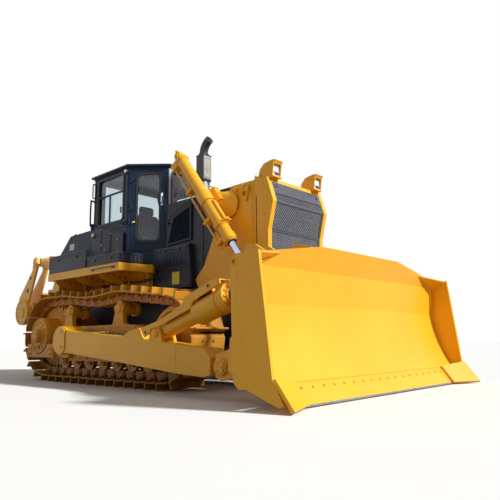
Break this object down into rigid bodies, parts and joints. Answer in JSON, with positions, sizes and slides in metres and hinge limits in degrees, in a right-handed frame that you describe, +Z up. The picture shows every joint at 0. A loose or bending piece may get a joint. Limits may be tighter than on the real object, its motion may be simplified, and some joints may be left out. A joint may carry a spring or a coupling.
{
  "type": "crawler bulldozer with a rear ripper",
  "caption": "Crawler dozer: raised cab, two tracks, tilting blade on push arms with lift cylinders, rear single-shank ripper.",
  "frame": {"origin": "on the ground under the middle of the whole machine's length and width", "axes": "+X forward towards the blade, +Y to the driver's left, +Z up"},
  "size_m": [8.3518, 4.13, 3.7382],
  "materials": {
    "yellow": "satin",
    "navy": "satin",
    "dark": "satin",
    "grey": "satin",
    "iron": "rough",
    "track": "worn",
    "steel": "worn",
    "chrome": "polished",
    "glass": "clear",
    "lamp": "clear",
    "seat": "matt",
    "plastic": "matt"
  },
  "bodies": {
    "chassis": {"hull": "dark", "engine": "iron", "radiator": "iron", "nose": "yellow", "grille": "grey", "hood": "navy", "lamp_guards": "yellow", "headlamps": "lamp", "exhaust": "iron", "deck": "yellow", "fuel_tank": "dark", "cab_shell": "navy", "cab_glass": "glass", "cab_roof": "navy", "seat": "seat", "controls": "plastic", "grab_rails": "navy", "track_left": "track", "track_right": "track", "track_frame_left": "yellow", "track_frame_right": "yellow", "sprockets": "track", "final_drives": "yellow", "idlers": "track", "track_rollers": "track", "carrier_rollers": "track", "fenders": "yellow", "side_boxes": "dark", "side_covers": "navy", "lift_brackets": "yellow", "ripper_frame": "yellow"},
    "trunnion_bushes": {"trunnion_bushes": "steel"},
    "blade": {"blade": "yellow", "blade_ends": "yellow", "blade_beams": "yellow", "blade_ears": "yellow", "cutting_edges": "steel"},
    "push_arm_left": {"push_arm_left": "yellow"},
    "push_arm_right": {"push_arm_right": "yellow"},
    "tilt_barrel": {"tilt_barrel": "yellow"},
    "tilt_rod": {"tilt_rod": "chrome"},
    "brace_left": {"brace_left": "yellow"},
    "lift_barrel_left": {"lift_barrel_left": "yellow"},
    "lift_barrel_right": {"lift_barrel_right": "yellow"},
    "lift_rod_left": {"lift_rod_left": "chrome"},
    "lift_rod_right": {"lift_rod_right": "chrome"},
    "door_left": {"door_left": "navy", "door_glass_left": "glass"},
    "door_right": {"door_right": "navy", "door_glass_right": "glass"},
    "ripper_arms": {"ripper_arms": "yellow"},
    "ripper_pins": {"ripper_pins": "steel"},
    "ripper_beam": {"ripper_beam": "yellow", "ripper_masts": "yellow", "ripper_shank": "steel"},
    "ripper_bushes": {"ripper_bushes": "steel"},
    "ripper_pitch_barrels": {"ripper_pitch_barrels": "yellow"},
    "ripper_pitch_rods": {"ripper_pitch_rods": "chrome"},
    "ripper_ram_barrels": {"ripper_ram_barrels": "yellow"},
    "ripper_ram_rods": {"ripper_ram_rods": "chrome"}
  },
  "joints": [
    {"name": "blade_lift", "type": "hinge", "parent": "chassis", "child": "trunnion_bushes", "pos_m": [-0.353, 0, 0.64], "axis": [0, -1, 0], "range_deg": [-7.2, 19.7]},
    {"name": "blade_tilt", "type": "hinge", "parent": "trunnion_bushes", "child": "blade", "pos_m": [2.967, 0, 0.348], "axis": [0.9022, -0.4239, -0.0794], "range_deg": [-6.5, 6.5]},
    {"name": "push_arm_left_pivot", "type": "hinge", "parent": "trunnion_bushes", "child": "push_arm_left", "pos_m": [-0.353, 1.56, 0.64], "axis": [0, -1, 0], "range_deg": [-2.81, 2.81]},
    {"name": "push_arm_right_pivot", "type": "hinge", "parent": "trunnion_bushes", "child": "push_arm_right", "pos_m": [-0.353, -1.56, 0.64], "axis": [0, -1, 0], "range_deg": [-2.81, 2.81]},
    {"name": "tilt_barrel_pivot", "type": "hinge", "parent": "push_arm_right", "child": "tilt_barrel", "pos_m": [1.817, -1.56, 0.71], "axis": [0.2524, -0.5359, -0.8057], "range_deg": [-3.86, 3.86]},
    {"name": "tilt_rod_slide", "type": "slide", "parent": "tilt_barrel", "child": "tilt_rod", "axis": [0.9543, 0, 0.299], "range_m": [-0.0674, 0.0674]},
    {"name": "brace_pivot", "type": "hinge", "parent": "push_arm_left", "child": "brace_left", "pos_m": [1.817, 1.56, 0.71], "axis": [0.299, 0, -0.9543], "range_deg": [-3.27, 3.27]},
    {"name": "lift_cylinder_left_pivot", "type": "hinge", "parent": "chassis", "child": "lift_barrel_left", "pos_m": [1.797, 0.85, 2.5], "axis": [0, -1, 0], "range_deg": [-7.75, 21.11]},
    {"name": "lift_rod_left_slide", "type": "slide", "parent": "lift_barrel_left", "child": "lift_rod_left", "axis": [0.5995, 0, -0.8004], "range_m": [-0.9689, 0.3547]},
    {"name": "lift_cylinder_right_pivot", "type": "hinge", "parent": "chassis", "child": "lift_barrel_right", "pos_m": [1.797, -0.85, 2.5], "axis": [0, -1, 0], "range_deg": [-7.75, 21.11]},
    {"name": "lift_rod_right_slide", "type": "slide", "parent": "lift_barrel_right", "child": "lift_rod_right", "axis": [0.5995, 0, -0.8004], "range_m": [-0.9689, 0.3547]},
    {"name": "ripper_lift", "type": "hinge", "parent": "chassis", "child": "ripper_arms", "pos_m": [-2.733, 0, 1.06], "axis": [0, 1, 0], "range_deg": [-50, 5]},
    {"name": "ripper_level", "type": "hinge", "parent": "ripper_arms", "child": "ripper_pins", "pos_m": [-3.533, 0, 1.2], "axis": [0, 1, 0], "range_deg": [-5.05, 50.05]},
    {"name": "ripper_pitch", "type": "hinge", "parent": "ripper_pins", "child": "ripper_beam", "pos_m": [-3.533, 0, 1.2], "axis": [0, 1, 0], "range_deg": [-12, 4]},
    {"name": "ripper_bush_pivot", "type": "hinge", "parent": "chassis", "child": "ripper_bushes", "pos_m": [-2.323, 0, 2.02], "axis": [0, 1, 0], "range_deg": [-50.05, 5.05]},
    {"name": "pitch_cylinder_pivot", "type": "hinge", "parent": "ripper_bushes", "child": "ripper_pitch_barrels", "pos_m": [-2.323, 0, 2.02], "axis": [0, 1, 0], "range_deg": [-1.22, 3.57]},
    {"name": "pitch_rod_slide", "type": "slide", "parent": "ripper_pitch_barrels", "child": "ripper_pitch_rods", "axis": [-0.985, 0, 0.1724], "range_m": [-0.072, 0.2139]},
    {"name": "ripper_cylinder_pivot", "type": "hinge", "parent": "chassis", "child": "ripper_ram_barrels", "pos_m": [-2.403, 0, 1.8], "axis": [0, 1, 0], "range_deg": [-13.05, 1.35]},
    {"name": "ripper_rod_slide", "type": "slide", "parent": "ripper_ram_barrels", "child": "ripper_ram_rods", "axis": [-0.7973, 0, -0.6036], "range_m": [-0.0294, 0.2855]},
    {"name": "door_right_hinge", "type": "hinge", "parent": "chassis", "child": "door_right", "pos_m": [0.0403, -0.8321, 2.65], "axis": [0, 0, -1], "range_deg": [0, 100]},
    {"name": "door_left_hinge", "type": "hinge", "parent": "chassis", "child": "door_left", "pos_m": [0.0403, 0.8321, 2.65], "axis": [0, 0, 1], "range_deg": [0, 100]}
  ],
  "couplings": [
    {"joint": "push_arm_left_pivot", "follows": "blade_tilt", "ratio": 0.42393},
    {"joint": "push_arm_right_pivot", "follows": "blade_tilt", "ratio": -0.42393},
    {"joint": "tilt_barrel_pivot", "follows": "blade_tilt", "ratio": 0.58648},
    {"joint": "tilt_rod_slide", "follows": "blade_tilt", "m_per_rad": -0.585},
    {"joint": "brace_pivot", "follows": "blade_tilt", "ratio": 0.49525},
    {"joint": "lift_cylinder_left_pivot", "follows": "blade_lift", "ratio": 1.069},
    {"joint": "lift_rod_left_slide", "follows": "blade_lift", "m_per_rad": -2.815},
    {"joint": "lift_cylinder_right_pivot", "follows": "blade_lift", "ratio": 1.069},
    {"joint": "lift_rod_right_slide", "follows": "blade_lift", "m_per_rad": -2.815},
    {"joint": "ripper_level", "follows": "ripper_lift", "ratio": -1},
    {"joint": "ripper_bush_pivot", "follows": "ripper_lift", "ratio": 1},
    {"joint": "pitch_cylinder_pivot", "follows": "ripper_pitch", "ratio": -0.2936},
    {"joint": "pitch_rod_slide", "follows": "ripper_pitch", "m_per_rad": -1.0165},
    {"joint": "ripper_cylinder_pivot", "follows": "ripper_lift", "ratio": 0.26},
    {"joint": "ripper_rod_slide", "follows": "ripper_lift", "m_per_rad": -0.326}
  ]
}
